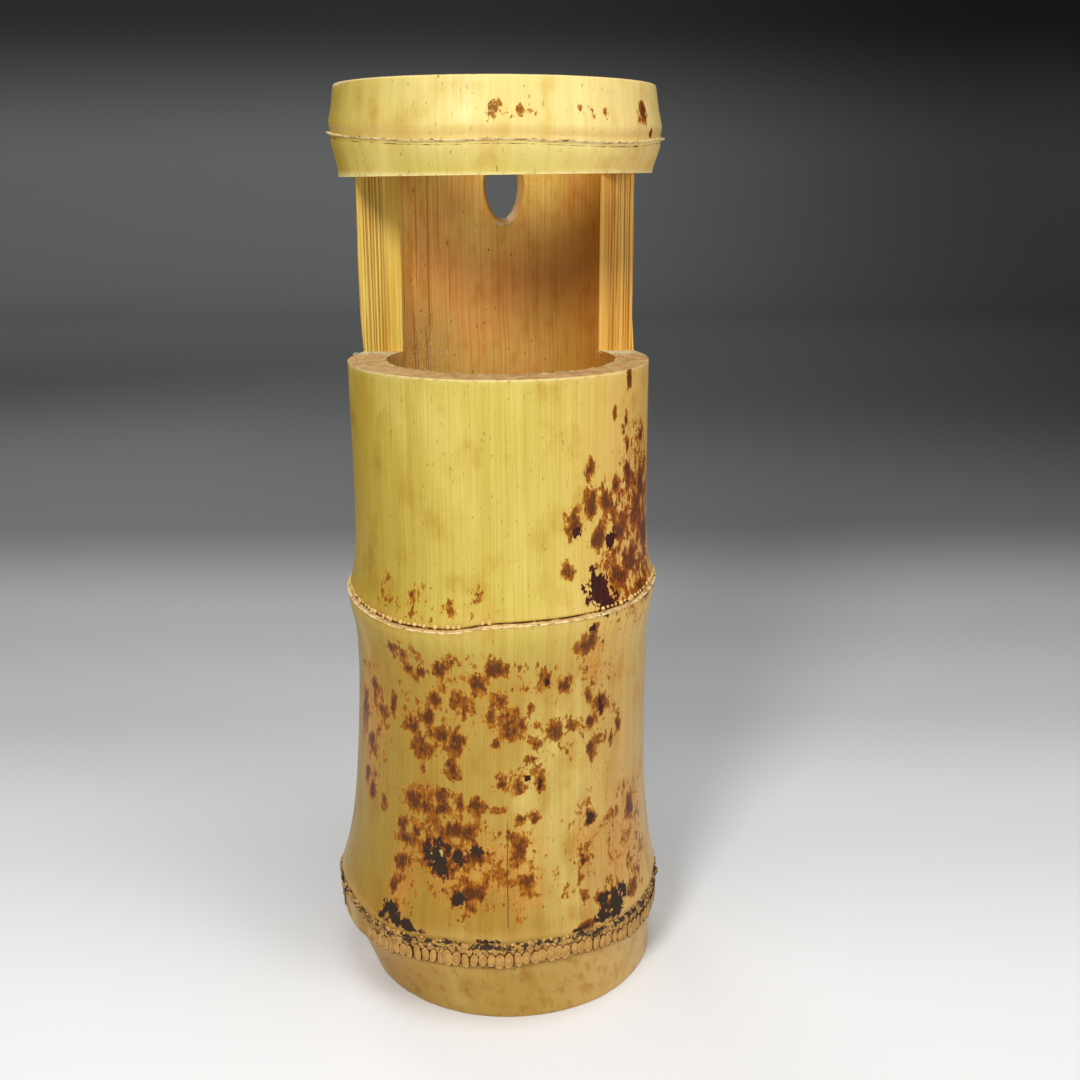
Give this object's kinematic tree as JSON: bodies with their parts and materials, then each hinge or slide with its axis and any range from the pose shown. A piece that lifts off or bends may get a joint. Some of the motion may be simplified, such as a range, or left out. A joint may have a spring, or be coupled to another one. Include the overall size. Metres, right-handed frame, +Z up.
{
  "type": "bamboo flower vase",
  "caption": "Standing or hanging cylinder vase cut from a thick bamboo culm, with one wide front window, a ring round the mouth, a nail hole and a lift-out copper liner.",
  "frame": {"origin": "on the surface that the vase stands on, under the middle of the culm", "axes": "+Z up along the culm, -Y out of the window, +X to the right of someone who faces the window"},
  "size_m": [0.1274, 0.1274, 0.33],
  "materials": {
    "bamboo": "glossy yellow-tan culm skin, oiled and smoked",
    "sheath_scar": "dull, dark and ragged",
    "root_stub": "cut root ends, satin",
    "partition": "raw, matt",
    "copper": "aged sheet copper, satin",
    "solder": "soft-soldered lap, satin"
  },
  "bodies": {
    "vase": {"culm_wall": "bamboo", "base_sheath_scar": "sheath_scar", "middle_sheath_scar": "sheath_scar", "top_sheath_scar": "sheath_scar", "root_stubs_lower": "root_stub", "root_stubs_upper": "root_stub", "floor_partition": "partition", "middle_partition_ledge": "partition", "top_partition_ledge": "partition"},
    "liner": {"liner_tube": "copper", "liner_floor": "copper", "liner_rim_wire": "copper", "liner_lap_seam": "solder"}
  },
  "joints": [
    {"name": "liner_lift", "type": "slide", "parent": "vase", "child": "liner", "axis": [0, 0, 1], "range_m": [0, 0.3]}
  ]
}
